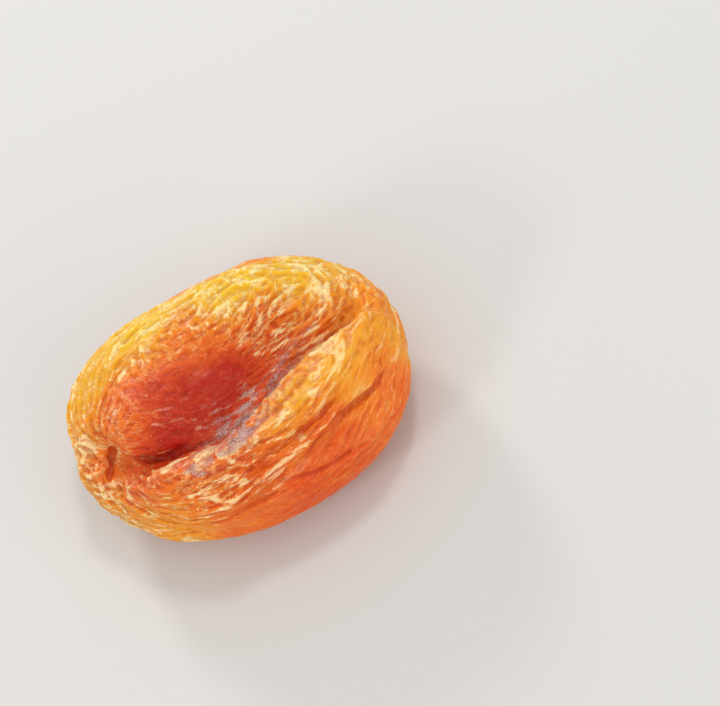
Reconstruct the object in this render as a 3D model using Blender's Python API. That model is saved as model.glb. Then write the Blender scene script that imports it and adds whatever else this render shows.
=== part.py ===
"""A dried apricot: one pitted fruit, dried whole, lying on its flattened underside.

Metres, +Z up. +X runs from the stem end to the tip. The fruit has sunk in on its upper side, where
one long fold crosses it; the thick lip of that fold is on the -Y side. The origin is the middle of
the base. Shapes are worked out in millimetres and scaled at the end.
"""

import math

import bmesh
import bpy
from mathutils import Vector, noise
from mathutils.bvhtree import BVHTree
from mathutils.kdtree import KDTree

MM = 0.001

# Driving dimensions
LENGTH = 42.5
WIDTH = 33.0
THICKNESS = 16.5

# The plump body before it sinks in. A fullness below 1 rounds out the shoulder between the wall
# and the crown or the underside. The crown's share is how much of the thickness lies above the
# widest level.
GRID_CUTS = 24
OUTLINE_POWER = 2.2
WALL_FULLNESS = 0.80
UNDERSIDE_FULLNESS = 0.95
CROWN_FULLNESS = 0.86
CROWN_SHARE = 0.52
UNDULATION = 0.45
UNDULATION_SPACING = 9.0
SMOOTHING = 0.5

# Where the outline in plan swells or draws in: the direction from the middle in degrees, how far
# round it reaches to each side, and how far the outline moves out
OUTLINE_SWELLS = [
    (36, 34, -0.8),
    (80, 28, -0.8),
    (134, 38, 2.0),
    (161, 16, -0.4),
    (208, 38, -2.4),
    (246, 38, -2.2),
    (284, 34, -1.0),
    (338, 22, -0.4),
]

# The hollow left by the stone: its middle, half sizes, depth and turn in plan. It reaches its
# full depth where the skin of the plump body faces up by more than this height on a unit sphere.
HOLLOW_MIDDLE = (0.8, -1.2)
HOLLOW_HALF_SIZE = (16.5, 11.5)
HOLLOW_DEPTH = 3.3
HOLLOW_TURN = math.radians(6)
HOLLOW_FULL_FROM = 0.33

# The flat spot it rests on is where the underside is cut off, this share of the thickness up
FLAT_CUT = 0.07

# Each fold: how far it is pressed in (a ridge is negative), how far it reaches to each side, and
# the points that it passes through, from the body's middle. The points only have to be near the
# surface.
ROUTE_STEP = 0.25
FOLDS = {
    "long_fold": (
        2.2,
        2.8,
        [
            (-15.0, -0.3, 4.0),
            (-12.5, -2.5, 3.0),
            (-8.5, -4.2, 2.5),
            (-5.0, -5.0, 2.0),
            (-1.0, -4.9, 2.0),
            (2.9, -4.4, 2.0),
            (6.6, -3.4, 2.5),
            (10.4, -2.5, 3.0),
            (14.4, -1.7, 3.5),
            (17.4, -0.2, 4.0),
        ],
    ),
    "slope_to_the_fold": (1.1, 7.5, [(-4, -2, 4), (2, -1, 4), (8, 0.5, 5), (12, 1.5, 5)]),
    "lip": (
        -1.3,
        3.0,
        [
            (-12.0, -7.2, 5.0),
            (-6.3, -8.2, 6.0),
            (-1.5, -8.4, 6.0),
            (3.0, -7.5, 5.5),
            (6.4, -6.3, 5.0),
            (10.3, -5.0, 5.3),
            (14.0, -4.5, 5.5),
            (17.2, -4.3, 6.0),
            (19.4, -2.8, 5.5),
            (21.0, 0.2, 4.0),
        ],
    ),
    "mound_by_the_stem": (-1.7, 6.2, [(-10.5, 1.8, 5), (-6, 1.0, 5)]),
    "stem_pinch": (1.9, 2.8, [(-16.8, 1.8, 4), (-15.6, 0.4, 4), (-17.3, -3.0, 3)]),
    "side_fold": (
        0.9,
        2.0,
        [(1, -12.9, 5), (7.3, -12.7, 4), (12, -11.9, 3), (15.3, -10.5, 2), (17.8, -8.2, 1)],
    ),
    "low_fold": (0.6, 2.0, [(-14, -11, 1), (-9, -13.6, 0), (-3, -15.4, 1)]),
    "underside_fold": (1.2, 3.2, [(-13, 3, -7), (-4, 6.5, -7), (6, 6, -7), (14, 2, -7)]),
}


def falloff(share):
    """1 at 0, and smoothly down to 0 at 1 and beyond."""
    return (1 - share * share) ** 2 if abs(share) < 1 else 0.0


def signed_power(value, power):
    return math.copysign(abs(value) ** power, value)


def clear_scene():
    for obj in list(bpy.data.objects):
        bpy.data.objects.remove(obj)


def quad_sphere():
    """A unit sphere of even quads, from a cube whose faces are cut into grids."""
    mesh = bmesh.new()
    bmesh.ops.create_cube(mesh, size=2)
    bmesh.ops.subdivide_edges(mesh, edges=mesh.edges[:], cuts=GRID_CUTS, use_grid_fill=True)
    for vert in mesh.verts:
        even = Vector(math.tan(axis * math.pi / 4) for axis in vert.co)
        vert.co = even.normalized()
    return mesh


def swell(angle):
    """How far the outline stands out of its even oval in this direction."""
    total = 0.0
    for middle, reach, amount in OUTLINE_SWELLS:
        apart = (math.degrees(angle) - middle + 180) % 360 - 180
        total += amount * falloff(apart / reach)
    return total


def plump(direction):
    """Where a point of the unit sphere lies on the plump body, with the body's middle at 0."""
    level = math.hypot(direction.x, direction.y)
    angle = math.atan2(direction.y, direction.x)
    along = signed_power(math.cos(angle), 2 / OUTLINE_POWER) * LENGTH / 2
    across = signed_power(math.sin(angle), 2 / OUTLINE_POWER) * WIDTH / 2
    out = Vector((along, across, 0))
    out += out.normalized() * swell(angle)
    if direction.z > 0:
        fullness, share = WALL_FULLNESS, CROWN_SHARE
    else:
        fullness, share = UNDERSIDE_FULLNESS, 1 - CROWN_SHARE
    height = signed_power(direction.z, CROWN_FULLNESS) * THICKNESS * share
    return out * level**fullness + Vector((0, 0, height))


def hollow_depth(point):
    """How far the upper side has sunk at this point."""
    middle = Vector(HOLLOW_MIDDLE)
    offset = Vector(point.xy) - middle
    cosine, sine = math.cos(HOLLOW_TURN), math.sin(HOLLOW_TURN)
    along = (offset.x * cosine + offset.y * sine) / HOLLOW_HALF_SIZE[0]
    across = (offset.y * cosine - offset.x * sine) / HOLLOW_HALF_SIZE[1]
    return HOLLOW_DEPTH * falloff(math.hypot(along, across))


def curve_point(before, start, end, after, t):
    """A point on the smooth curve that passes through start at 0 and end at 1."""
    straight = 2 * start + (end - before) * t
    bend = (2 * before - 5 * start + 4 * end - after) * t**2
    twist = (3 * start - before - 3 * end + after) * t**3
    return 0.5 * (straight + bend + twist)


def route_tree(points, surface):
    """A KD tree of closely spaced points along a smooth route laid onto the surface."""
    line = []
    corners = [Vector(point) for point in (points[0], *points, points[-1])]
    for before, start, end, after in zip(corners, corners[1:], corners[2:], corners[3:]):
        steps = math.ceil((end - start).length / ROUTE_STEP)
        line += [curve_point(before, start, end, after, step / steps) for step in range(steps)]
    tree = KDTree(len(line))
    for index, point in enumerate(line):
        tree.insert(surface.find_nearest(point)[0], index)
    tree.balance()
    return tree


def press_folds(mesh):
    """Presses every fold into the surface, along the normals that it has before them."""
    mesh.normal_update()
    surface = BVHTree.FromBMesh(mesh)
    moves = {vert: 0.0 for vert in mesh.verts}
    for depth, reach, points in FOLDS.values():
        tree = route_tree(points, surface)
        for vert in mesh.verts:
            moves[vert] -= depth * falloff(tree.find(vert.co)[2] / reach)
    for vert, move in moves.items():
        vert.co += vert.normal * move


def shape_fruit(mesh):
    for vert in mesh.verts:
        facing_up = max(0.0, vert.co.z)
        place = plump(vert.co)
        place.z -= hollow_depth(place) * min(1.0, facing_up / HOLLOW_FULL_FROM)
        vert.co = place
    mesh.normal_update()
    for vert in mesh.verts:
        vert.co += vert.normal * UNDULATION * noise.noise(vert.co / UNDULATION_SPACING)
    press_folds(mesh)
    bmesh.ops.smooth_vert(
        mesh,
        verts=mesh.verts,
        factor=SMOOTHING,
        use_axis_x=True,
        use_axis_y=True,
        use_axis_z=True,
    )


def rest_and_fit(mesh):
    """Flattens the underside where it rests, and brings the fruit to its driving dimensions."""
    floor = min(vert.co.z for vert in mesh.verts) + FLAT_CUT * THICKNESS
    for vert in mesh.verts:
        vert.co.z = max(vert.co.z, floor)
    low = [min(vert.co[axis] for vert in mesh.verts) for axis in range(3)]
    high = [max(vert.co[axis] for vert in mesh.verts) for axis in range(3)]
    for vert in mesh.verts:
        along, across, up = [
            (vert.co[axis] - low[axis]) / (high[axis] - low[axis]) for axis in range(3)
        ]
        vert.co = Vector(((along - 0.5) * LENGTH, (across - 0.5) * WIDTH, up * THICKNESS)) * MM


def skin_material():
    material = bpy.data.materials.new("dried_apricot_skin")
    material.use_nodes = True
    shader = material.node_tree.nodes["Principled BSDF"]
    shader.inputs["Base Color"].default_value = (0.84, 0.27, 0.03, 1)
    shader.inputs["Roughness"].default_value = 0.42
    shader.inputs["Metallic"].default_value = 0.0
    return material


def main():
    clear_scene()
    mesh = quad_sphere()
    shape_fruit(mesh)
    rest_and_fit(mesh)
    data = bpy.data.meshes.new("dried_apricot")
    mesh.to_mesh(data)
    mesh.free()
    data.shade_smooth()
    data.materials.append(skin_material())
    fruit = bpy.data.objects.new("dried_apricot", data)
    collection = bpy.data.collections.new("dried_apricot")
    bpy.context.scene.collection.children.link(collection)
    collection.objects.link(fruit)


main()
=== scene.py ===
"""Dried apricot: the wrinkled skin of the fruit, its material, and a pale studio to see it in.

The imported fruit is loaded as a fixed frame, and the skin is shaped over it. Object data is in metres.
Folds and wrinkles are worked out in millimetres and scaled at the end.
"""

import math
from functools import partial

import bmesh
import bpy
import numpy as np
from bpy.props import FloatProperty, FloatVectorProperty, IntProperty, PointerProperty
from bpy.types import Operator, Panel, PropertyGroup
from mathutils import Matrix, Vector, noise
from mathutils.bvhtree import BVHTree
from mathutils.kdtree import KDTree


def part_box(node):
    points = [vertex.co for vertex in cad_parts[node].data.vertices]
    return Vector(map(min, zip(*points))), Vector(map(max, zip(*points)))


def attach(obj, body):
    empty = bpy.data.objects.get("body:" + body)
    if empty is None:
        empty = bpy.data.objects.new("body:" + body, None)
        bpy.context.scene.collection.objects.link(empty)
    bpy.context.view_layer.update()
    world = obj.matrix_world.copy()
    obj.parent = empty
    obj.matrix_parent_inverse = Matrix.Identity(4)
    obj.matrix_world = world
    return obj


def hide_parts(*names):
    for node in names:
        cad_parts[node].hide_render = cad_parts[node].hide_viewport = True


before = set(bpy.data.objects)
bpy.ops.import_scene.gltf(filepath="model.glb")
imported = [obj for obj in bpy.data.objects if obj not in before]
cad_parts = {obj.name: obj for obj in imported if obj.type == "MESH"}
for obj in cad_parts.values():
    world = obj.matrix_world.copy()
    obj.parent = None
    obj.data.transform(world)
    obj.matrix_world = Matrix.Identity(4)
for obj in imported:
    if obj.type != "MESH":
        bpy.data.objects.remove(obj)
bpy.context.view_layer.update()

bl_info = {
    "name": "Dried Apricot",
    "version": (1, 0, 0),
    "blender": (4, 5, 0),
    "location": "View3D > Sidebar > Apricot",
    "description": "Shapes and colours a dried apricot over its packed solid",
    "category": "Object",
}

MM = 0.001
FRUIT = "dried_apricot"
LOW, HIGH = (Vector(corner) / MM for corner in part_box(FRUIT))
LENGTH, WIDTH, THICKNESS = HIGH - LOW
MIDDLE = (LOW + HIGH) / 2


def linear(code):
    """A colour written as sRGB hex, such as "#F2B632", in the linear values that shaders take."""
    parts = [int(code[place : place + 2], 16) / 255 for place in (1, 3, 5)]
    return tuple(part / 12.92 if part <= 0.04045 else ((part + 0.055) / 1.055) ** 2.4 for part in parts)


# Routes over the fruit, in millimetres. The points only have to be near the surface.
ROUTES = {
    "long_fold": [
        (-15.6, 0.4, 12.2), (-13.6, -2.4, 12.6), (-10.8, -4.4, 12.2), (-7.9, -5.2, 11.5),
        (-5.0, -5.6, 10.6), (-1.2, -5.2, 10.0), (2.6, -4.7, 10.0), (6.4, -3.6, 10.4),
        (10.2, -2.6, 11.0), (14.2, -1.7, 11.8), (17.4, -0.2, 12.2),
    ],
    "fold_by_the_mound": [
        (-15.6, 0.4, 12.2), (-13.6, -2.4, 12.6), (-10.8, -4.4, 12.2), (-7.9, -5.0, 11.5),
        (-4.5, -5.0, 10.8),
    ],
    "crease_by_the_mound": [
        (-15.6, 0.4, 12.2), (-13.6, -2.4, 12.6), (-10.8, -4.4, 12.2), (-7.9, -5.0, 11.5),
        (-4.0, -5.0, 10.8),
    ],
    "fold_by_the_tip": [
        (2.6, -4.7, 10), (6.4, -3.6, 10.4), (10.2, -2.6, 11), (14.2, -1.7, 11.8),
        (17.4, -0.2, 12.2),
    ],
    "crease_by_the_tip": [
        (1.5, -5.2, 10), (6.4, -4.0, 10.4), (10.2, -3.0, 11), (14.2, -2.0, 11.8),
        (17.4, -0.3, 12.2),
    ],
    "mound_foot": [(-14.2, -0.6, 13), (-12.0, -2.6, 13.4), (-9.0, -3.6, 13), (-5.5, -3.9, 12)],
    "inner_slope": [
        (-9, -5.2, 12), (-6, -5.4, 11), (-3, -4.8, 10.5), (0.5, -4.2, 10),
        (4.5, -3.4, 10.5), (8, -2.2, 11),
    ],
    "lip_edge": [
        (-4.2, -7.6, 12.0), (0.0, -7.4, 12.4), (3.4, -6.8, 13.0), (6.6, -5.4, 13.6),
        (10.2, -4.3, 13.8), (13.8, -3.7, 13.8), (16.4, -3.4, 13.6), (18.3, -2.4, 13.2),
        (19.9, -0.2, 12.0),
    ],
    "lip_valley": [
        (-3, -9.8, 14), (1.5, -9.0, 14.4), (5.5, -8.0, 14.4), (9.5, -6.6, 14),
        (14, -6.0, 13.6),
    ],
    "outer_crest": [
        (-9.9, -10.8, 14), (-6.2, -10.9, 14.6), (-0.1, -10.4, 14.8), (4.9, -9.9, 14.4),
        (10, -9.0, 14), (12.5, -7.5, 14.2), (15.3, -6.2, 14), (17.6, -4, 13.2),
    ],
    "outer_valley": [
        (-3.6, -12.9, 13.1), (1.5, -12.5, 13.5), (6.5, -12.0, 13.6), (10, -11.0, 13.6),
        (12.5, -9.0, 13.8),
    ],
    "wall_crest": [
        (-12.9, -11.7, 10.4), (-9.7, -13.2, 11.6), (-6.5, -14.2, 11.6), (-2.6, -14.1, 12.2),
        (2.1, -13.4, 12.3), (6.5, -13.0, 12.9), (9.6, -12.2, 13.1), (11.5, -10.9, 13.4),
        (13.1, -9.0, 13.5),
    ],
    "wall_crease": [
        (-1, -14.6, 11.5), (1.7, -15.4, 10.8), (4.3, -15.8, 10), (7.2, -15.6, 9.6),
        (10.5, -14.6, 9),
    ],
    "low_crease": [
        (-13.3, -11.3, 7.9), (-9.2, -14.3, 9.2), (-5.9, -15.2, 10), (-3.1, -15.5, 10.3),
        (0.5, -15.7, 10.6),
    ],
    "side_crease": [(8, -13.5, 12.3), (11.7, -12.5, 12.2), (15.4, -11.0, 10.7), (18.0, -8.6, 9.8)],
    "side_dent": [(17.3, -8.6, 10.4), (18.2, -7.2, 10.6)],
    "plateau_fold": [(3.0, 4.6, 14.2), (7.6, 4.6, 14), (11.6, 3.4, 13.4), (15.0, 3.0, 12.9)],
    "plateau_valley": [(4.4, 2.6, 13), (8.4, 2.4, 13), (12.4, 1.6, 13)],
    "stem_to_wall": [
        (-15.5, 0.9, 12.5), (-16.3, -0.3, 11.6), (-17.0, -1.2, 11.0), (-17.8, -2.3, 10.3),
    ],
    "stem_to_rim": [(-15.4, 0.8, 13.2), (-15.8, 2.0, 13.6), (-16.8, 3.8, 13)],
}
ROUTE_STEP = 0.2

# The stem scar, where creases gather
STEM = Vector((-15.7, 0.5, 12.2))

# In this oval about the long fold, streaks in the skin's colour run along the fold and not round the fruit
LENGTHWISE_MIDDLE = (1.0, -1.5)
LENGTHWISE_HALF_SIZE = (19, 9.5)

# Streaks in the skin's colour are drawn out along the wrinkles to this many times their width
DRAWN_OUT = 4.5

# The skin at some places on the fruit: how far its colour has gone from deep red, at 0, by red, orange
# and amber to yellow, at 1; how crumpled it is, which also sets how much frosting and painted highlight its
# crests get; how dry and dull it is; and how much bloom lies on it
SKIN_PLACES = [
    # The back rim, its end by the tip, and its slope into the hollow
    ((-14, 9.5, 12), 0.9, 0.7, 0.1, 0.0),
    ((-7, 11, 14.8), 1.1, 0.8, 0.2, 0.0),
    ((4, 9.5, 14.8), 1.1, 0.9, 0.1, 0.0),
    ((14, 6, 13.4), 0.95, 0.9, 0.1, 0.0),
    ((18, 0.5, 12), 0.7, 0.7, 0.1, 0.0),
    ((17, 5.5, 11.5), 0.9, 0.8, 0.1, 0.0),
    ((-8, 7, 15.4), 0.75, 0.8, 0.3, 0.0),
    ((1.5, 7, 15), 0.7, 0.8, 0.1, 0.0),
    # The flat part between the hollow and the tip
    ((13, 1, 13), 0.65, 0.8, 0.1, 0.1),
    ((7, 2, 12.6), 0.45, 1.0, 0.1, 0.0),
    # The hollow, the mound between it and the stem, and the long fold
    ((0, 0.5, 12.2), -0.15, 0.1, 0.3, 0.0),
    ((4, -1.5, 11.5), 0.1, 0.4, 0.4, 0.2),
    ((-0.5, 4.5, 14), 0.25, 0.3, 0.3, 0.0),
    ((-8, 2.5, 16), 0.02, 0.35, 0.9, 0.05),
    ((-12.5, 1.5, 16), 0.52, 0.7, 0.8, 0.1),
    ((-9, -4.6, 12), -0.1, 0.3, 0.6, 0.0),
    ((-3, -5, 10.5), 0.0, 0.4, 0.8, 0.4),
    ((1, -4.6, 10), 0.1, 0.6, 1.0, 1.1),
    ((5, -3, 10.6), 0.2, 0.7, 0.9, 0.95),
    ((9, -2.2, 11), 0.35, 0.8, 0.8, 0.85),
    ((12, -1.7, 11.6), 0.45, 0.8, 0.5, 0.7),
    # The lip, and its outer side
    ((-8.5, -11.5, 13.7), 0.5, 0.75, 0.1, 0.0),
    ((-7.6, -9.8, 14.8), 0.45, 0.8, 0.4, 0.85),
    ((-12, -7.5, 13.6), 0.4, 0.8, 0.2, 0.0),
    ((-3.5, -8.2, 14.2), 0.45, 0.9, 0.5, 1.1),
    ((0, -7.4, 13.4), 0.45, 0.9, 0.6, 1.35),
    ((2.3, -6.2, 13), 0.4, 0.9, 0.6, 1.35),
    ((3.5, -8.8, 14.8), 1.0, 0.8, 0.1, 0.2),
    ((6.5, -7.6, 14.8), 1.05, 0.75, 0.1, 0.0),
    ((5, -10.5, 14.2), 0.8, 0.7, 0.1, 0.0),
    ((10, -7, 15), 0.8, 0.6, 0.1, 0.0),
    ((11.5, -4.3, 14), 0.8, 0.5, 0.1, 0.0),
    ((14.5, -6.5, 14.5), 0.85, 0.5, 0.2, 0.0),
    ((1.5, -12.6, 13.4), 0.33, 0.5, 0.4, 0.0),
    ((6, -12.6, 13.2), 0.35, 0.5, 0.4, 0.0),
    ((9, -13.4, 12.2), 0.25, 0.3, 0.5, 0.0),
    ((13.3, -10.6, 12.8), 0.85, 0.35, 0.2, 0.0),
    ((16.4, -10.2, 10.3), 0.3, 0.4, 0.4, 0.0),
    ((-4, -13, 12.9), 0.42, 0.7, 0.3, 0.0),
    ((15, -11, 9), 0.42, 0.3, 0.5, 0.0),
    # The front wall, the tip and the stem end
    ((4.7, -16, 10), 0.27, 0.2, 0.6, 0.0),
    ((-6, -15.5, 8), 0.42, 0.25, 0.5, 0.0),
    ((-13, -11, 10.7), 0.75, 0.6, 0.3, 0.0),
    ((0, -15, 5), 0.25, 0.2, 0.6, 0.0),
    ((18.5, -6.5, 10.8), 0.8, 0.5, 0.3, 0.0),
    ((21, 0, 8), 0.65, 0.6, 0.3, 0.0),
    ((-18, 3.5, 12), 0.75, 1.0, 0.1, 0.0),
    ((-16.6, -0.8, 11.3), 0.25, 0.4, 0.2, 0.0),
    ((-19.5, -2, 9.5), 0.75, 1.0, 0.1, 0.0),
    ((-20, 4, 9), 0.8, 1.0, 0.1, 0.0),
    ((-17, 9, 10), 0.85, 1.0, 0.1, 0.0),
    # The back wall and the underside
    ((-10, 14, 8), 0.75, 0.45, 0.3, 0.0),
    ((0, 15.5, 7), 0.6, 0.3, 0.4, 0.0),
    ((8, 14, 8), 0.65, 0.4, 0.3, 0.0),
    ((-15, 11, 5), 0.6, 0.4, 0.3, 0.0),
    ((14, 10, 5), 0.5, 0.35, 0.4, 0.0),
    ((-12, 0, 1), 0.45, 0.4, 0.5, 0.0),
    ((0, 6, 0), 0.4, 0.4, 0.5, 0.0),
    ((12, 0, 1), 0.45, 0.4, 0.5, 0.0),
    ((0, -8, 0), 0.35, 0.4, 0.5, 0.0),
]

# How far the skin of one place spreads to its surroundings, in millimetres, and how much it still counts
# far beyond them, where no place is near
PLACE_REACH = 2.2
FAR_WEIGHT = 0.001

# How far each fold is pressed in, and how far it reaches to each side, in millimetres. A raised crest is
# negative. The broad folds shape the coarse skin, and the sharp ones the fine skin.
BROAD_FOLDS = {
    "mound_foot": (-0.5, 1.9),
    "fold_by_the_mound": (0.25, 1.6),
    "fold_by_the_tip": (0.6, 1.5),
    "inner_slope": (-1.1, 2.8),
    "lip_edge": (-0.75, 1.5),
    "lip_valley": (0.55, 1.5),
    "outer_crest": (-0.35, 1.5),
    "outer_valley": (0.5, 1.3),
    "wall_crest": (-0.5, 1.4),
    "side_crease": (0.8, 1.5),
    "side_dent": (0.7, 2.2),
    "low_crease": (0.3, 1.3),
    "wall_crease": (0.3, 1.1),
    "plateau_fold": (-0.4, 1.6),
    "plateau_valley": (0.4, 1.6),
}
SHARP_FOLDS = {
    "crease_by_the_mound": (0.6, 0.75),
    "crease_by_the_tip": (0.45, 0.7),
    "lip_edge": (-0.28, 0.7),
    "stem_to_wall": (0.6, 1.0),
    "stem_to_rim": (0.3, 0.9),
    "side_crease": (0.45, 0.8),
    "wall_crest": (-0.25, 0.6),
    "outer_crest": (-0.22, 0.6),
    "lip_valley": (0.2, 0.6),
    "outer_valley": (0.2, 0.6),
    "low_crease": (0.25, 0.6),
    "wall_crease": (0.15, 0.6),
}

# Paints that the settings leave alone
# Gold of the painted highlight along the creases
GOLD_HIGHLIGHT_THREAD = (*linear("#FFC25C"), 1)
# Cream and dull frosting on the crests, partly dry sugar and partly painted highlight
CREAM_FROST_AND_HIGHLIGHT = (*linear("#FFF0B4"), 1)
DULL_FROST_AND_HIGHLIGHT = (*linear("#F2CFC4"), 1)
# Red of the painted shade in the valleys and folds
PAINTED_SHADE_RED = (*linear("#D2501E"), 1)
DRY_SPECK = (*linear("#F2CDB8"), 1)
UNDER_BLOOM = (*linear("#8E5C50"), 1)
PALE_GREY = (*linear("#D6D4D0"), 1)

# Where each light hangs, along the view's right, its up and toward the camera, as shares of its distance
# from the fruit; then that distance and the light's size, in metres, and its power, in watts
LIGHTS = {
    "glint_light": ((-0.58, 0.8, -0.22), 0.5, 0.1, 0.9),
    "top_light": ((-0.1, 0.75, 0.66), 0.5, 0.1, 0.45),
    "left_light": ((-0.75, -0.45, 0.45), 0.5, 0.12, 0.5),
    "fill_light": ((0.7, -0.25, 0.65), 0.8, 0.9, 3.4),
}

# How strong the even white light from all round is
AIR_STRENGTH = 0.68


def falloff(share):
    """1 at 0, and smoothly down to 0 at 1 and beyond, for a number or an array."""
    return (1 - np.clip(np.abs(share), 0, 1) ** 2) ** 2


def rise(values, start, end):
    """0 up to start, 1 from end on, and smooth between them."""
    share = np.clip((values - start) / (end - start), 0, 1)
    return share * share * (3 - 2 * share)


class Net:
    """The skin as arrays: where its points are, in millimetres, and which points lie beside which."""

    def __init__(self, mesh):
        count = len(mesh.vertices)
        spots = np.empty(count * 3, np.float32)
        mesh.vertices.foreach_get("co", spots)
        self.spots = spots.reshape(-1, 3) / MM
        corners = np.empty(len(mesh.loops), np.int32)
        mesh.loops.foreach_get("vertex_index", corners)
        self.quads = corners.reshape(-1, 4)
        sides = np.concatenate([self.quads[:, [corner, (corner + 1) % 4]] for corner in range(4)])
        sides = sides[sides[:, 0] < sides[:, 1]]
        diagonals = np.concatenate([self.quads[:, [0, 2]], self.quads[:, [1, 3]]])
        self.beside = neighbour_table(sides, count)
        self.around = neighbour_table(np.concatenate([sides, diagonals]), count)

    def normals(self):
        """Which way is out of the skin at each point."""
        corners = self.spots[self.quads]
        faces = np.cross(corners[:, 2] - corners[:, 0], corners[:, 3] - corners[:, 1])
        total = np.zeros_like(self.spots)
        for corner in range(4):
            for axis in range(3):
                total[:, axis] += np.bincount(self.quads[:, corner], faces[:, axis], len(total))
        return total / np.maximum(np.linalg.norm(total, axis=1, keepdims=True), 1e-9)

    def relax(self, times, factor=0.5):
        """Moves each point toward the middle of those beside it."""
        for _ in range(times):
            self.spots += factor * (self.spots[self.beside].mean(0) - self.spots)

    def smooth(self, values, times):
        """Evens out a value that each point has."""
        for _ in range(times):
            values = 0.5 * values + 0.125 * sum(values.take(row) for row in self.beside)
        return values

    def settle(self, surface):
        """Moves each point to the nearest place on the surface."""
        for index, spot in enumerate(self.spots):
            self.spots[index] = surface.find_nearest(spot)[0]

    def write(self, mesh):
        """Moves the mesh's points to where the net's are."""
        mesh.vertices.foreach_set("co", (self.spots * MM).astype(np.float32).ravel())
        mesh.update()


def neighbour_table(pairs, count):
    """A column for each point with the points that it is paired with. Spare places hold the point itself."""
    both = np.concatenate([pairs, pairs[:, ::-1]])
    both = both[np.argsort(both[:, 0], kind="stable")]
    first = np.searchsorted(both[:, 0], np.arange(count))
    place = np.arange(len(both)) - first[both[:, 0]]
    table = np.tile(np.arange(count), (place.max() + 1, 1))
    table[place, both[:, 0]] = both[:, 1]
    return table


def fruit_surface():
    """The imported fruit's faces, smoothed, as a tree in millimetres."""
    cage = bmesh.new()
    cage.from_mesh(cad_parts[FRUIT].data)
    bmesh.ops.remove_doubles(cage, verts=cage.verts, dist=0.00001)
    bmesh.ops.scale(cage, verts=cage.verts, vec=(1 / MM, 1 / MM, 1 / MM))
    bmesh.ops.join_triangles(cage, faces=cage.faces, angle_face_threshold=0.6, angle_shape_threshold=0.9)
    data = bpy.data.meshes.new("fruit_cage")
    cage.to_mesh(data)
    cage.free()
    cage_object = bpy.data.objects.new("fruit_cage", data)
    bpy.context.scene.collection.objects.link(cage_object)
    rounding = cage_object.modifiers.new("rounding", "SUBSURF")
    rounding.levels = rounding.render_levels = 2
    surface = BVHTree.FromObject(cage_object, bpy.context.evaluated_depsgraph_get())
    bpy.data.objects.remove(cage_object)
    bpy.data.meshes.remove(data)
    return surface


def ball_cage(quads):
    """A unit sphere of even quads, from a cube whose faces are cut into grids."""
    cage = bmesh.new()
    bmesh.ops.create_cube(cage, size=2)
    bmesh.ops.subdivide_edges(cage, edges=cage.edges[:], cuts=quads - 1, use_grid_fill=True)
    for vert in cage.verts:
        vert.co = Vector(math.tan(axis * math.pi / 4) for axis in vert.co).normalized()
    return cage


def wrap(net, surface, rounds=6):
    """Brings the points of a unit sphere in onto the fruit, and spreads them out evenly there."""
    reach = net.spots * MM * np.array([LENGTH, WIDTH, THICKNESS])
    for index, way in enumerate(reach):
        net.spots[index] = surface.ray_cast(MIDDLE + Vector(way), -Vector(way).normalized())[0]
    for _ in range(rounds):
        net.relax(times=20)
        net.settle(surface)


def smooth_route(points):
    """Closely spaced points along the smooth curve through these points."""
    line = []
    corners = [Vector(point) for point in (points[0], *points, points[-1])]
    for before, start, end, after in zip(corners, corners[1:], corners[2:], corners[3:]):
        steps = math.ceil((end - start).length / ROUTE_STEP)
        for step in range(steps):
            t = step / steps
            straight = 2 * start + (end - before) * t
            bend = (2 * before - 5 * start + 4 * end - after) * t**2
            twist = (3 * start - before - 3 * end + after) * t**3
            line.append(0.5 * (straight + bend + twist))
    return line


class Route:
    """A smooth line laid onto the fruit, and for each point of the net how far off it is and how it runs.

    Where a skin is given, which folds have moved away from the fruit, the line is brought straight down
    onto it from this far outside, in millimetres.
    """

    CLEARANCE = 1.5

    def __init__(self, name, surface, net, skin=None):
        line = []
        for point in smooth_route(ROUTES[name]):
            spot, out = surface.find_nearest(point)[:2]
            if skin:
                spot = skin.ray_cast(spot + out * self.CLEARANCE, -out)[0] or spot
            line.append(spot)
        tree = KDTree(len(line))
        for index, spot in enumerate(line):
            tree.insert(spot, index)
        tree.balance()
        found = [tree.find(spot) for spot in net.spots]
        self.away = np.array([distance for _, _, distance in found])
        nearest = np.array([index for _, index, _ in found])
        self.offset = net.spots - np.array(line)[nearest]
        along = np.gradient(np.array(line), axis=0)
        along /= np.maximum(np.linalg.norm(along, axis=1, keepdims=True), 1e-9)
        self.along = along[nearest]
        self.share = nearest / (len(line) - 1)
        self.travel = nearest * ROUTE_STEP


def press(net, folds, surface, fade, skin=None):
    """Presses each fold in, or raises it, along the normals that the skin has before them.

    It widens and narrows a little on its way, and fades out over this share of its length at each end.
    Returns how near each point is to the top of a raised one, and to the bottom of a pressed one, up to 1.
    """
    out = net.normals()
    move, tops, dips = np.zeros((3, len(net.spots)))
    width = 1 + 0.6 * coherent_noise(net, size=1.7, offset=33.0)
    for name, (depth, reach) in folds.items():
        route = Route(name, surface, net, skin)
        ends = rise(route.share, -0.02, fade) * (1 - rise(route.share, 1 - fade, 1.02))
        share = falloff(route.away / reach / width) * ends
        move -= depth * share
        nearness = tops if depth < 0 else dips
        np.maximum(nearness, share, out=nearness)
    net.spots += out * move[:, None]
    return tops, dips


def coherent_noise(net, size, offset):
    """Smooth noise of this size in millimetres, about -0.5 to 0.5. Another offset gives other noise."""
    return np.array([noise.noise(Vector(spot) / size + Vector((offset, 0, 0))) for spot in net.spots])


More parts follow.
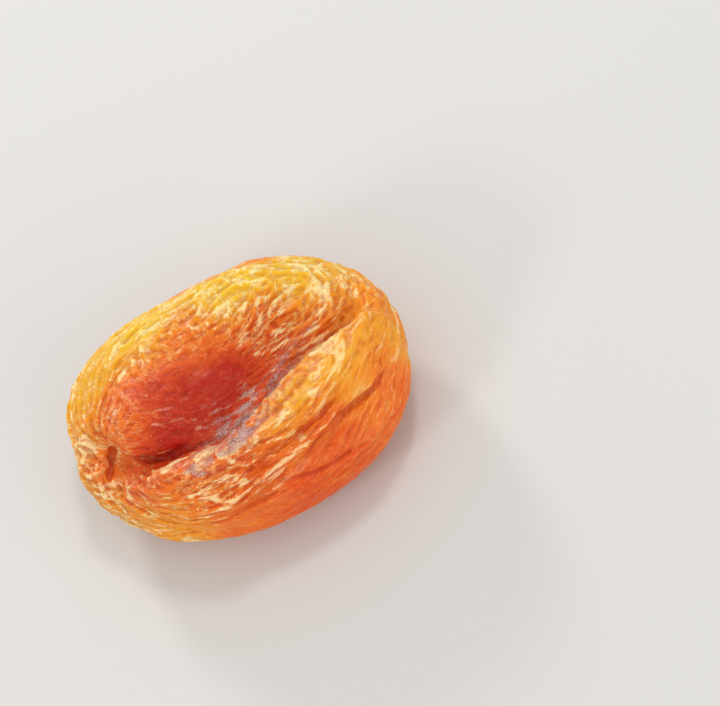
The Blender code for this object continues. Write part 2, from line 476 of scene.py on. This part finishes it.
class Flow:
    """Which way wrinkles run at each point, as a tensor, so that where two ways meet neither one wins."""

    def __init__(self, net, out, surface, wander):
        spots = net.spots
        plan = (spots - np.array(MIDDLE))[:, :2] / np.array([LENGTH / 2, WIDTH / 2])
        ring = np.stack([-spots[:, 1] / WIDTH**2, spots[:, 0] / LENGTH**2, np.zeros(len(spots))], 1)
        fold = Route("long_fold", surface, net)
        lip = Route("lip_edge", surface, net)
        from_stem = spots - np.array(STEM)
        stem_gap = np.linalg.norm(from_stem, axis=1)

        # Wrinkles run round the fruit, but along the fold inside the rim and toward the stem scar near it
        inside = (1 - rise(np.linalg.norm(plan, axis=1), 0.45, 0.8)) * rise(out[:, 2], 0.2, 0.7)
        gather = (1 - rise(stem_gap, 2.5, 7.0)) * 2.5
        self.tensor = np.zeros((len(spots), 3, 3), np.float32)
        self.turn = wander * coherent_noise(net, size=4.5, offset=21.0)
        self.add(ring, out, 1 - 0.9 * inside)
        self.add(fold.along, out, 0.9 * inside + 1.5 * falloff(fold.away / 4))
        self.add(lip.along, out, 1.2 * falloff(lip.away / 5))
        self.add(from_stem, out, gather)
        self.tensor /= np.trace(self.tensor, axis1=1, axis2=2)[:, None, None]

    def add(self, way, out, weight):
        """Adds a way that wrinkles run, laid flat on the skin and turned a little to and fro."""
        way = way - out * (way * out).sum(1, keepdims=True)
        way = way / np.maximum(np.linalg.norm(way, axis=1, keepdims=True), 1e-9)
        way = way * np.cos(self.turn)[:, None] + np.cross(out, way) * np.sin(self.turn)[:, None]
        self.tensor += (weight[:, None, None] * way[:, :, None] * way[:, None, :]).astype(np.float32)


class Spreading:
    """How a value spreads from point to point over the net: evenly, and along the flow."""

    def __init__(self, net, flow, shortest):
        self.net = net
        gap = self.steps(net, net.beside)[1]
        self.even = self.weights(gap, shortest)
        step, gap = self.steps(net, net.around)
        share = np.einsum("kna,nab,knb->kn", step, flow.tensor, step) / np.maximum(gap, 1e-9)
        self.along = self.weights(gap, shortest) * np.clip(share, 0, 1).astype(np.float32) ** 3
        self.even_total = self.even.sum(0)
        self.along_total = self.along.sum(0)

    @staticmethod
    def steps(net, table):
        """The step from each point to those that the table lists for it, and its squared length."""
        step = net.spots[table] - net.spots
        return step, (step**2).sum(2)

    @staticmethod
    def weights(gap, shortest):
        """How strongly points share. Those nearer than the shortest distance share no more than at it."""
        return np.where(gap > 1e-9, 1 / np.maximum(gap, shortest**2), 0).astype(np.float32)

    def evenly(self, values):
        """How fast the values change when they spread alike every way."""
        change = -self.even_total * values
        for row, weight in zip(self.net.beside, self.even):
            change += weight * values.take(row)
        return change

    def along_flow(self, values):
        """How fast the values change when they spread the way that wrinkles run."""
        change = -self.along_total * values
        for row, weight in zip(self.net.around, self.along):
            change += weight * values.take(row)
        return change


def grow_wrinkles(spreading, spacing, growth, straightness, bias, seed, age):
    """Lets wrinkles of one spacing grow out of noise until they settle, as a skin's do when it shrinks.

    growth says where they grow (below 0 the skin stays smooth). straightness pulls them along the
    flow, and bias narrows their crests. Returns about -1 in the valleys and 1 on the crests.
    """
    chance = np.random.RandomState(seed)
    square = ((2 * math.pi / spacing) ** 2).astype(np.float32)
    stiff = 2 * (spreading.even_total / square).max()
    stiff_along = 2 * (spreading.along_total / square).max()
    step = 1.6 / ((stiff - 1) ** 2 + straightness * stiff_along)
    growth = growth.astype(np.float32)
    values = chance.uniform(-0.3, 0.3, len(growth)).astype(np.float32)
    for _ in range(math.ceil(age / step)):
        bent = values + spreading.evenly(values) / square
        bent += spreading.evenly(bent) / square
        change = (growth + bias * values - values * values) * values
        change += straightness / square * spreading.along_flow(values) - bent
        values = values + np.float32(step) * change
    return values / math.sqrt(4 * growth.max() / 3)


def crest_shape(values, sharpness):
    """Turns waves from -1 to 1 into thin crests, at 1, over wide valleys, at 0."""
    low = math.exp(-sharpness)
    return (np.exp(sharpness * np.clip(values, -1.3, 1.3)) - low) / (1 / low - low)


def combed_noise(net, spreading, width, length, seed):
    """Noise in streaks of about this width and length, in millimetres, along the flow.

    It is smoothed to that width, what is much wider is taken out, and it is drawn out along the flow.
    """
    chance = np.random.RandomState(seed)
    values = chance.normal(size=len(net.spots)).astype(np.float32)
    even_step = 0.8 / spreading.even_total.max()
    along_step = 0.8 / spreading.along_total.max()
    for _ in range(math.ceil((width / 4) ** 2 / even_step)):
        values = values + even_step * spreading.evenly(values)
    wide = values
    for _ in range(math.ceil((width / 4) ** 2 * 3 / even_step)):
        wide = wide + even_step * spreading.evenly(wide)
    values = values - wide
    for _ in range(math.ceil((length / 4) ** 2 / along_step)):
        values = values + along_step * spreading.along_flow(values)
    return values / values.std()


def ridged(net, values, reach):
    """Sharp crests, at 1, where the values pass 0, with flat slopes down to 0 at this many millimetres."""
    gap = Spreading.steps(net, net.beside)[1]
    slope = np.sqrt(2 * (((values[net.beside] - values) ** 2) / np.maximum(gap, 1e-3)).mean(0))
    slope = np.maximum(net.smooth(slope, 6), 1e-3)
    return 1 - np.minimum(np.abs(values) / slope / reach, 1)


class Places:
    """The tone, crumpling, dryness and bloom of the skin, and where its creases run lengthwise."""

    def __init__(self, net, out):
        x, y = net.spots.T[:2]
        self.tone, self.crumpled, self.dry, self.bloom = skin_qualities(net)
        along = (x - LENGTHWISE_MIDDLE[0]) / LENGTHWISE_HALF_SIZE[0]
        across = (y - LENGTHWISE_MIDDLE[1]) / LENGTHWISE_HALF_SIZE[1]
        self.lengthwise = falloff(np.hypot(along, across)) ** 0.6 * rise(out[:, 2], -0.1, 0.5)

        # Where wrinkles grow, and how much of their height they reach
        self.growth = 0.7 * self.crumpled - 0.1
        self.strength = 0.2 + 0.9 * self.crumpled


def skin_qualities(net):
    """The qualities at each point: those of the places nearby, weighted by how near they are."""
    total = np.zeros((4, len(net.spots)))
    weights = np.zeros(len(net.spots))
    for place, *qualities in SKIN_PLACES:
        gap = np.linalg.norm(net.spots - np.array(place), axis=1)
        weight = np.exp(-((gap / PLACE_REACH) ** 2) / 2) + FAR_WEIGHT / (1 + gap**2)
        total += weight * np.array(qualities)[:, None]
        weights += weight
    return [net.smooth(quality, times=60) for quality in total / weights]


def keep_above_floor(net):
    """Flattens the wrinkles that the fruit rests on."""
    net.spots[:, 2] = np.maximum(net.spots[:, 2], 0)


def comb_round(net):
    """Coordinates for patterns that run round the fruit, in which they are drawn out."""
    along, across, up = ((net.spots - np.array(MIDDLE)) / (np.array([LENGTH, WIDTH, THICKNESS]) / 2)).T
    angle = np.arctan2(across, along)
    level = np.arctan2(up, np.hypot(along, across))
    radius = (LENGTH + WIDTH) / 4 / DRAWN_OUT
    return np.stack([radius * np.cos(angle), radius * np.sin(angle), level * (WIDTH + THICKNESS) / 4], 1)


def comb_lengthwise(net, out, surface):
    """Coordinates for patterns that run beside the long fold, in which they are drawn out by as much."""
    fold = Route("long_fold", surface, net)
    side = np.sign((np.cross(fold.along, fold.offset) * out).sum(1))
    return np.stack([fold.travel / DRAWN_OUT, fold.away * side, 0 * side], 1)


def set_attribute(mesh, name, values):
    """Stores a share from 0 to 1 for each point of the mesh."""
    layer = mesh.attributes.new(name, "FLOAT", "POINT")
    layer.data.foreach_set("value", np.clip(values, 0, 1).astype(np.float32))


def set_coordinates(mesh, name, values):
    """Stores coordinates in millimetres, as metres, for each point of the mesh."""
    layer = mesh.attributes.new(name, "FLOAT_VECTOR", "POINT")
    layer.data.foreach_set("vector", (values * MM).astype(np.float32).ravel())


class SkinSettings(PropertyGroup):
    """The sizes of the wrinkles and the colours of the skin"""

    cage_quads: IntProperty(
        name="Cage quads",
        description="Quads along each side of the six grids of the coarse skin, which the fine skin doubles",
        default=64,
        min=16,
        max=64,
    )
    swell_spacing: FloatProperty(
        name="Swell spacing",
        description="From crest to crest of the broad wrinkles",
        default=2.7 * MM,
        unit="LENGTH",
    )
    swell_height: FloatProperty(
        name="Swell height",
        description="From valley to crest of the broad wrinkles",
        default=0.25 * MM,
        unit="LENGTH",
    )
    ridge_height: FloatProperty(
        name="Ridge height",
        description="How far the long sharp ridges stand up",
        default=0.26 * MM,
        unit="LENGTH",
    )
    wrinkle_spacing: FloatProperty(
        name="Wrinkle spacing",
        description="From crest to crest of the main wrinkles",
        default=1.3 * MM,
        unit="LENGTH",
    )
    wrinkle_height: FloatProperty(
        name="Wrinkle height",
        description="From valley to crest of the main wrinkles",
        default=0.12 * MM,
        unit="LENGTH",
    )
    crease_height: FloatProperty(
        name="Crease height",
        description="How far the sharp creases stand up",
        default=0.31 * MM,
        unit="LENGTH",
    )
    crinkle_height: FloatProperty(
        name="Crinkle height",
        description="From valley to crest of the finest wrinkles",
        default=0.15 * MM,
        unit="LENGTH",
    )
    seed: IntProperty(name="Seed", description="Another number grows other wrinkles", default=7, min=0)
    deep_red: FloatVectorProperty(
        name="Deep red",
        description="The bottom of the hollow and of the fold",
        subtype="COLOR",
        default=linear("#B81C06"),
    )
    red: FloatVectorProperty(
        name="Red",
        description="Thick skin over dark flesh",
        subtype="COLOR",
        default=linear("#DA5012"),
    )
    orange: FloatVectorProperty(
        name="Orange",
        description="Most of the skin",
        subtype="COLOR",
        default=linear("#E8741E"),
    )
    amber: FloatVectorProperty(
        name="Amber",
        description="Thinner skin, on the lip and the tip",
        subtype="COLOR",
        default=linear("#EC961F"),
    )
    yellow: FloatVectorProperty(
        name="Yellow",
        description="The rim, where the flesh glows",
        subtype="COLOR",
        default=linear("#EFC02A"),
    )
    bloom: FloatVectorProperty(
        name="Bloom",
        description="The fine sugar that dries out in the fold",
        subtype="COLOR",
        default=linear("#D6BCB8"),
    )


class StageSettings(PropertyGroup):
    """Where the camera stands and what it takes in"""

    azimuth: FloatProperty(
        name="Azimuth",
        description="Which side the camera looks from",
        default=math.radians(12),
        unit="ROTATION",
    )
    elevation: FloatProperty(
        name="Elevation",
        description="How far the camera looks down",
        default=math.radians(55),
        unit="ROTATION",
    )
    roll: FloatProperty(
        name="Roll",
        description="How far the camera is turned about its line of sight",
        default=math.radians(42),
        unit="ROTATION",
    )
    lens: FloatProperty(name="Lens", description="Focal length in millimetres", default=150.0, min=20.0)
    frame_width: FloatProperty(
        name="Frame width",
        description="Width of the view at the fruit",
        default=84.7 * MM,
        unit="LENGTH",
    )
    fruit_left: FloatProperty(
        name="Fruit left",
        description="How far left of the view's middle the fruit lies",
        default=14.3 * MM,
        unit="LENGTH",
    )
    fruit_down: FloatProperty(
        name="Fruit down",
        description="How far below the view's middle the fruit lies",
        default=5.1 * MM,
        unit="LENGTH",
    )


def add_node(tree, kind, inputs, out=0, **settings):
    """Adds a node and returns one of its outputs.

    inputs gives its sockets a value, or the output that feeds them. A Mix node's sockets are 0 for the
    share, 2 and 3 for two numbers, and 6 and 7 for two colours. A MapRange's are 0 for the value, 1 and 2
    for the range it comes from, and 3 and 4 for the range it goes to.
    """
    new = tree.nodes.new("ShaderNode" + kind)
    for name, value in settings.items():
        setattr(new, name, value)
    for socket, value in inputs.items():
        if isinstance(value, bpy.types.NodeSocket):
            tree.links.new(value, new.inputs[socket])
        else:
            new.inputs[socket].default_value = value
    return new.outputs[out]


def dried_skin(settings):
    """Sulphured apricot skin, sun dried and packed moist.

    The eye sees an orange that is yellow where light comes through the thin rim and deep red in
    the hollow, a sticky half gloss that breaks up on every crest, a fine leathery grain, and a dry
    pale sugar bloom in the fold. Gold lines on the creases are painted highlight, the frosting on the
    crests is partly painted highlight, and the valleys and folds get painted shade.
    """
    material = bpy.data.materials.new("dried_apricot_skin")
    material.use_nodes = True
    node = partial(add_node, material.node_tree)
    shader = material.node_tree.nodes["Principled BSDF"]
    names = ("tone", "bloom", "top", "dip", "crest", "valley", "crumpled", "lengthwise", "dry")
    tone, bloomed, top, dip, crest, valley, crumpled, lengthwise, dry = (
        node("Attribute", {}, "Fac", attribute_name=name) for name in names
    )
    place = node("TexCoord", {}, "Object")
    patches, mottle, tooth, grain = (
        node("TexNoise", {"Vector": place, "Scale": 1 / (size * MM), "Detail": detail, "Roughness": 0.6})
        for size, detail in ((4.0, 3), (1.0, 4), (0.4, 3), (0.17, 2))
    )

    # Streaks that run round the fruit and, inside, along the fold. Their middles are fine creases about
    # 1 mm and 0.5 mm apart, which carry painted highlight as gold lines, and their high parts get dry
    # frosting that is partly painted highlight.
    streaks = []
    for size in (1.3, 1.0, 0.5):
        both = []
        for name in ("combed_round", "combed_lengthwise"):
            combed = node("Attribute", {}, "Vector", attribute_name=name)
            inputs = {"Vector": combed, "Scale": 1 / (size * MM), "Detail": 4, "Roughness": 0.6}
            both.append(node("TexNoise", {**inputs, "Distortion": 0.4}))
        streaks.append(node("Mix", {0: lengthwise, 2: both[0], 3: both[1]}))
    creases = []
    for wave in streaks[1:]:
        gap = node("Math", {0: wave, 1: 0.5}, operation="SUBTRACT")
        gap = node("Math", {0: gap}, operation="ABSOLUTE")
        creases.append(node("MapRange", {0: gap, 1: 0.0, 2: 0.035, 3: 1.0, 4: 0.0}))
    lines = node("Math", {0: creases[1], 1: 0.5, 2: creases[0]}, operation="MULTIPLY_ADD")
    highlight_threads = node("MapRange", {0: lines, 1: 0.2, 2: 1.0, 3: 0.0, 4: 0.35}, interpolation_type="SMOOTHSTEP")
    lines = node("Math", {0: lines, 1: crumpled}, operation="MULTIPLY")

    # Tones from the deep red of the hollow to the yellow of the rim, in uneven patches
    tone = node("Math", {0: patches, 1: 0.24, 2: tone}, operation="MULTIPLY_ADD")
    tone = node("Math", {0: mottle, 1: 0.16, 2: tone}, operation="MULTIPLY_ADD")
    colour = (*settings.deep_red, 1)
    starts = (0.2, 0.45, 0.7, 0.95)
    for start, paint in zip(starts, (settings.red, settings.orange, settings.amber, settings.yellow)):
        reached = node("MapRange", {0: tone, 1: start, 2: start + 0.25})
        colour = node("Mix", {0: reached, 6: colour, 7: (*paint, 1)}, 2, data_type="RGBA")

    # Pale gold lines along the creases are painted highlight, left off where the flesh is dark
    pale = node("MapRange", {0: tone, 1: 0.3, 2: 0.65})
    highlight_threads = node("Math", {0: highlight_threads, 1: pale}, operation="MULTIPLY")
    colour = node("Mix", {0: highlight_threads, 6: colour, 7: GOLD_HIGHLIGHT_THREAD}, 2, data_type="RGBA")

    # High parts get grainy cream streaks and thin crests of dry frosting that is partly painted highlight,
    # and valleys get darker, redder painted shade
    frost_and_highlight = node("Math", {0: crest, 1: 0.07, 2: streaks[0]}, operation="MULTIPLY_ADD")
    frost_and_highlight = node("Math", {0: crumpled, 1: 0.12, 2: frost_and_highlight}, operation="MULTIPLY_ADD")
    frost_and_highlight = node("Math", {0: patches, 1: 0.3, 2: frost_and_highlight}, operation="MULTIPLY_ADD")
    frost_and_highlight = node("Math", {0: streaks[2], 1: 0.8, 2: frost_and_highlight}, operation="MULTIPLY_ADD")
    frost_and_highlight = node("MapRange", {0: frost_and_highlight, 1: 1.2, 2: 1.29}, interpolation_type="SMOOTHSTEP")
    thin = node("MapRange", {0: lines, 1: 0.4, 2: 0.9, 3: 0.0, 4: 0.7}, interpolation_type="SMOOTHSTEP")
    edge_frost_and_highlight = node("Math", {0: top, 1: 0.6, 2: streaks[2]}, operation="MULTIPLY_ADD")
    edge_frost_and_highlight = node("MapRange", {0: edge_frost_and_highlight, 1: 0.98, 2: 1.1, 3: 0.0, 4: 0.9}, interpolation_type="SMOOTHSTEP")
    thin = node("Math", {0: thin, 1: edge_frost_and_highlight}, operation="MAXIMUM")
    frost_and_highlight = node("Math", {0: frost_and_highlight, 1: thin}, operation="MAXIMUM")
    rough = node("Math", {0: crumpled, 1: top}, operation="MAXIMUM")
    rough = node("MapRange", {0: rough, 1: 0.2, 2: 0.7}, interpolation_type="SMOOTHSTEP")
    frost_and_highlight = node("Math", {0: frost_and_highlight, 1: rough}, operation="MULTIPLY")
    speck = node("MapRange", {0: grain, 1: 0.35, 2: 0.6, 3: 0.25, 4: 0.85})
    frost_and_highlight = node("Math", {0: frost_and_highlight, 1: speck}, operation="MULTIPLY")
    dull = node("MapRange", {0: dry, 1: 0.45, 2: 0.9})
    frost_and_highlight_colour = node("Mix", {0: dull, 6: CREAM_FROST_AND_HIGHLIGHT, 7: DULL_FROST_AND_HIGHLIGHT}, 2, data_type="RGBA")
    colour = node("Mix", {0: frost_and_highlight, 6: colour, 7: frost_and_highlight_colour}, 2, data_type="RGBA")
    # Valleys and the bottoms of pressed folds get painted shade, multiplied darker and redder, less on
    # yellow skin
    painted_shade = node("MapRange", {0: valley, 1: 0.05, 2: 0.8, 3: 0.0, 4: 0.6}, interpolation_type="SMOOTHSTEP")
    thick = node("MapRange", {0: tone, 1: 0.75, 2: 1.1, 3: 1.0, 4: 0.4})
    painted_shade = node("Math", {0: painted_shade, 1: thick}, operation="MULTIPLY")
    fold_shade = node("MapRange", {0: dip, 1: 0.2, 2: 1.0, 3: 0.0, 4: 0.5}, interpolation_type="SMOOTHSTEP")
    painted_shade = node("Math", {0: painted_shade, 1: fold_shade}, operation="MAXIMUM")
    flesh = {0: painted_shade, 6: colour, 7: PAINTED_SHADE_RED}
    colour = node("Mix", flesh, 2, data_type="RGBA", blend_type="MULTIPLY")

    # The smooth dull skin of the mound and the hollow is dotted with dry specks
    dots = node("MapRange", {0: grain, 1: 0.61, 2: 0.69, 3: 0.0, 4: 0.8})
    dots = node("Math", {0: dots, 1: dry}, operation="MULTIPLY")
    dots = node("Math", {0: dots, 1: mottle}, operation="MULTIPLY")
    colour = node("Mix", {0: dots, 6: colour, 7: DRY_SPECK}, 2, data_type="RGBA")

    # Bloom lies in streaks of grains, here 0.17 mm across and coarser than real ones so that they show
    patch = node("Math", {0: streaks[1], 1: 3.0, 2: bloomed}, operation="MULTIPLY_ADD")
    dust = node("MapRange", {0: patch, 1: 2.05, 2: 2.6}, interpolation_type="SMOOTHSTEP")
    veil = node("Math", {0: dust, 1: 0.75}, operation="MULTIPLY")
    colour = node("Mix", {0: veil, 6: colour, 7: UNDER_BLOOM}, 2, data_type="RGBA")
    grains = node("MapRange", {0: grain, 1: 0.45, 2: 0.62, 3: 0.1, 4: 1.0}, interpolation_type="SMOOTHSTEP")
    dust = node("Math", {0: dust, 1: grains}, operation="MULTIPLY", use_clamp=True)
    colour = node("Mix", {0: dust, 6: colour, 7: (*settings.bloom, 1)}, 2, data_type="RGBA")
    material.node_tree.links.new(colour, shader.inputs["Base Color"])

    # Sticky skin is half glossy and uneven, and bloom is dull
    gloss = node("Math", {0: tooth, 1: 0.2, 2: 0.1}, operation="MULTIPLY_ADD")
    gloss = node("Math", {0: dry, 1: 0.25, 2: gloss}, operation="MULTIPLY_ADD")
    gloss = node("Math", {0: frost_and_highlight, 1: 0.1, 2: gloss}, operation="MULTIPLY_ADD")
    gloss = node("Math", {0: dust, 1: 0.35, 2: gloss}, operation="MULTIPLY_ADD", use_clamp=True)
    material.node_tree.links.new(gloss, shader.inputs["Roughness"])

    # Leathery tooth and grain, in real sizes of 0.4 and 0.17 mm
    height = node("Math", {0: grain, 1: 0.4, 2: tooth}, operation="MULTIPLY_ADD")
    height = node("Math", {0: lines, 1: 2.0, 2: height}, operation="MULTIPLY_ADD")
    height = node("Math", {0: frost_and_highlight, 1: 1.0, 2: height}, operation="MULTIPLY_ADD")
    bump = node("Bump", {"Strength": 1.0, "Distance": 0.028 * MM, "Height": height})
    material.node_tree.links.new(bump, shader.inputs["Normal"])

    shader.inputs["Metallic"].default_value = 0.0
    shader.inputs["IOR"].default_value = 1.48
    shader.inputs["Subsurface Weight"].default_value = 0.35
    shader.inputs["Subsurface Radius"].default_value = (1.0, 0.5, 0.3)
    shader.inputs["Subsurface Scale"].default_value = 1.2 * MM
    shader.inputs["Specular IOR Level"].default_value = 0.32
    shader.inputs["Specular Tint"].default_value = (1.0, 0.85, 0.65, 1.0)
    return material


class APRICOT_OT_skin(Operator):
    """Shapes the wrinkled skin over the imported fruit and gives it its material"""

    bl_idname = "apricot.skin"
    bl_label = "Skin"

    def execute(self, context):
        settings = context.scene.apricot_skin
        surface = fruit_surface()
        cage = ball_cage(settings.cage_quads)
        mesh = bpy.data.meshes.new("wrinkled_skin")
        cage.to_mesh(mesh)
        net = Net(mesh)
        wrap(net, surface)
        self.shape_cage(net, surface, settings)
        net.write(mesh)
        cage.free()
        cage = bmesh.new()
        cage.from_mesh(mesh)
        bmesh.ops.subdivide_edges(cage, edges=cage.edges[:], cuts=1, use_grid_fill=True)
        cage.to_mesh(mesh)
        cage.free()
        net = Net(mesh)
        net.relax(times=2)
        self.shape_skin(net, mesh, surface, settings)
        net.write(mesh)
        mesh.shade_smooth()
        mesh.materials.append(dried_skin(settings))
        skin = bpy.data.objects.new("wrinkled_skin", mesh)
        context.scene.collection.objects.link(skin)
        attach(skin, "root")
        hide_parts(FRUIT)
        return {"FINISHED"}

    def shape_cage(self, net, surface, settings):
        """Gives the coarse skin its broad folds, broad wrinkles and long ridges."""
        press(net, BROAD_FOLDS, surface, fade=0.15)
        net.relax(times=1)
        out = net.normals()
        flow = Flow(net, out, surface, wander=0.9)
        places = Places(net, out)
        spreading = Spreading(net, flow, shortest=0.3)
        age = 10
        spacing = settings.swell_spacing / MM * (1 + 0.6 * coherent_noise(net, size=7.0, offset=40.0))
        waves = grow_wrinkles(
            spreading, spacing, places.growth, straightness=1.2, bias=0.4, seed=settings.seed, age=age
        )
        height = settings.swell_height / MM * (0.7 + 0.9 * coherent_noise(net, size=5.0, offset=3.0))
        move = height * (crest_shape(waves, sharpness=1.2) - 0.35)
        ridges = combed_noise(net, spreading, width=2.2, length=8.0, seed=settings.seed + 9)
        move += settings.ridge_height / MM * (ridged(net, ridges, reach=0.9) - 0.5)
        net.spots += out * (move * places.strength)[:, None]

    def shape_skin(self, net, mesh, surface, settings):
        """Gives the fine skin its sharp folds, main and finest wrinkles and creases."""
        before = net.spots.copy()
        skin = BVHTree.FromPolygons(net.spots.tolist(), net.quads.tolist())
        tops, dips = press(net, SHARP_FOLDS, surface, fade=0.3, skin=skin)
        out = net.normals()
        flow = Flow(net, out, surface, wander=0.9)
        places = Places(net, out)
        spreading = Spreading(net, flow, shortest=0.15)
        patches = coherent_noise(net, size=3.2, offset=9.0)
        age = 8
        growth = places.growth + 0.5 * patches
        spacing = settings.wrinkle_spacing / MM * (1 + 0.5 * coherent_noise(net, size=5.0, offset=60.0))
        waves = grow_wrinkles(
            spreading, spacing, growth, straightness=0.9, bias=0.5, seed=settings.seed + 1, age=age
        )
        coarse = combed_noise(net, spreading, width=1.15, length=4.0, seed=settings.seed + 3)
        fine = combed_noise(net, spreading, width=0.65, length=1.9, seed=settings.seed + 4)
        share = np.clip(0.5 + 0.9 * patches, 0.1, 1.0)
        move = settings.wrinkle_height / MM * share * (crest_shape(waves, sharpness=2.0) - 0.3)
        move += settings.crease_height / MM * (1.2 - 0.5 * share) * (ridged(net, coarse, reach=0.5) - 0.4)
        move += settings.crinkle_height / MM * (0.7 + 0.5 * share) * (ridged(net, fine, reach=0.3) - 0.4)
        net.spots += out * (move * places.strength)[:, None]
        keep_above_floor(net)
        set_attribute(mesh, "top", tops)
        set_attribute(mesh, "dip", dips)
        self.describe(net, mesh, places, before, out, surface)

    def describe(self, net, mesh, places, before, out, surface):
        """Stores with the mesh what the material asks about each point of the skin."""
        height = ((net.spots - before) * out).sum(1)
        height -= net.smooth(height, times=25)
        height /= height.std()
        set_attribute(mesh, "crest", height / 2)
        set_attribute(mesh, "valley", -height / 2)
        for name in ("tone", "crumpled", "dry", "bloom", "lengthwise"):
            set_attribute(mesh, name, getattr(places, name))
        set_coordinates(mesh, "combed_round", comb_round(net))
        set_coordinates(mesh, "combed_lengthwise", comb_lengthwise(net, out, surface))


class APRICOT_OT_stage(Operator):
    """Sets a pale floor, soft lights and the camera"""

    bl_idname = "apricot.stage"
    bl_label = "Stage"

    def execute(self, context):
        settings = context.scene.apricot_stage
        toward, right, up = self.view_axes(settings)
        self.add_camera(context, settings, toward, right, up)
        self.add_floor(context)
        for name, (way, distance, size, power) in LIGHTS.items():
            offset = (right * way[0] + up * way[1] + toward * way[2]) * distance
            self.add_light(context, name, MIDDLE * MM + offset, size, power)
        world = bpy.data.worlds.new("studio_air")
        context.scene.world = world
        world.use_nodes = True
        world.node_tree.nodes["Background"].inputs["Color"].default_value = (1, 1, 1, 1)
        world.node_tree.nodes["Background"].inputs["Strength"].default_value = AIR_STRENGTH
        context.scene.view_settings.view_transform = "Standard"
        return {"FINISHED"}

    def view_axes(self, settings):
        """The directions toward the camera, and to the right and up in its view."""
        azimuth, elevation, roll = settings.azimuth, settings.elevation, settings.roll
        flat = Vector((math.sin(azimuth), -math.cos(azimuth), 0))
        toward = flat * math.cos(elevation) + Vector((0, 0, math.sin(elevation)))
        level = Vector((math.cos(azimuth), math.sin(azimuth), 0))
        upright = toward.cross(level)
        right = level * math.cos(roll) - upright * math.sin(roll)
        up = level * math.sin(roll) + upright * math.cos(roll)
        return toward, right, up

    def add_camera(self, context, settings, toward, right, up):
        """Aims the camera so that the fruit lies where the settings say in its view."""
        data = bpy.data.cameras.new("camera")
        camera = bpy.data.objects.new("camera", data)
        context.scene.collection.objects.link(camera)
        data.lens = settings.lens
        data.clip_start = 0.01
        middle = MIDDLE * MM
        distance = settings.lens * settings.frame_width / data.sensor_width
        aim = middle + right * settings.fruit_left + up * settings.fruit_down
        place = middle + toward * distance
        ahead = (aim - place).normalized()
        side = ahead.cross(up).normalized()
        turn = Matrix((side, side.cross(ahead), -ahead)).transposed()
        camera.matrix_world = Matrix.Translation(place) @ turn.to_4x4()
        context.scene.camera = camera

    def add_floor(self, context):
        """Lays out matt board: to the eye it is an even pale grey without gloss, under soft shadows."""
        shape = bmesh.new()
        bmesh.ops.create_grid(shape, x_segments=1, y_segments=1, size=1.5)
        mesh = bpy.data.meshes.new("floor")
        shape.to_mesh(mesh)
        shape.free()
        material = bpy.data.materials.new("pale_matt_board")
        material.use_nodes = True
        shader = material.node_tree.nodes["Principled BSDF"]
        shader.inputs["Base Color"].default_value = PALE_GREY
        shader.inputs["Roughness"].default_value = 0.9
        mesh.materials.append(material)
        floor = bpy.data.objects.new("floor", mesh)
        context.scene.collection.objects.link(floor)

    def add_light(self, context, name, place, size, power):
        """Hangs a round light that faces the fruit."""
        data = bpy.data.lights.new(name, "AREA")
        data.shape = "DISK"
        data.size = size
        data.energy = power
        light = bpy.data.objects.new(name, data)
        context.scene.collection.objects.link(light)
        turn = (MIDDLE * MM - place).to_track_quat("-Z", "Y")
        light.matrix_world = Matrix.Translation(place) @ turn.to_matrix().to_4x4()


class APRICOT_PT_panel(Panel):
    """Lists the pieces of the dried apricot and their settings"""

    bl_label = "Dried Apricot"
    bl_idname = "APRICOT_PT_panel"
    bl_space_type = "VIEW_3D"
    bl_region_type = "UI"
    bl_category = "Apricot"

    def draw(self, context):
        for settings, operator in (
            (context.scene.apricot_skin, APRICOT_OT_skin),
            (context.scene.apricot_stage, APRICOT_OT_stage),
        ):
            box = self.layout.box()
            for name in settings.__annotations__:
                box.prop(settings, name)
            box.operator(operator.bl_idname)


CLASSES = (SkinSettings, StageSettings, APRICOT_OT_skin, APRICOT_OT_stage, APRICOT_PT_panel)


def register():
    for kind in CLASSES:
        bpy.utils.register_class(kind)
    bpy.types.Scene.apricot_skin = PointerProperty(type=SkinSettings)
    bpy.types.Scene.apricot_stage = PointerProperty(type=StageSettings)


def unregister():
    del bpy.types.Scene.apricot_stage
    del bpy.types.Scene.apricot_skin
    for kind in reversed(CLASSES):
        bpy.utils.unregister_class(kind)


def main():
    register()
    bpy.ops.apricot.stage()
    bpy.ops.apricot.skin()


if __name__ == "__main__":
    main()
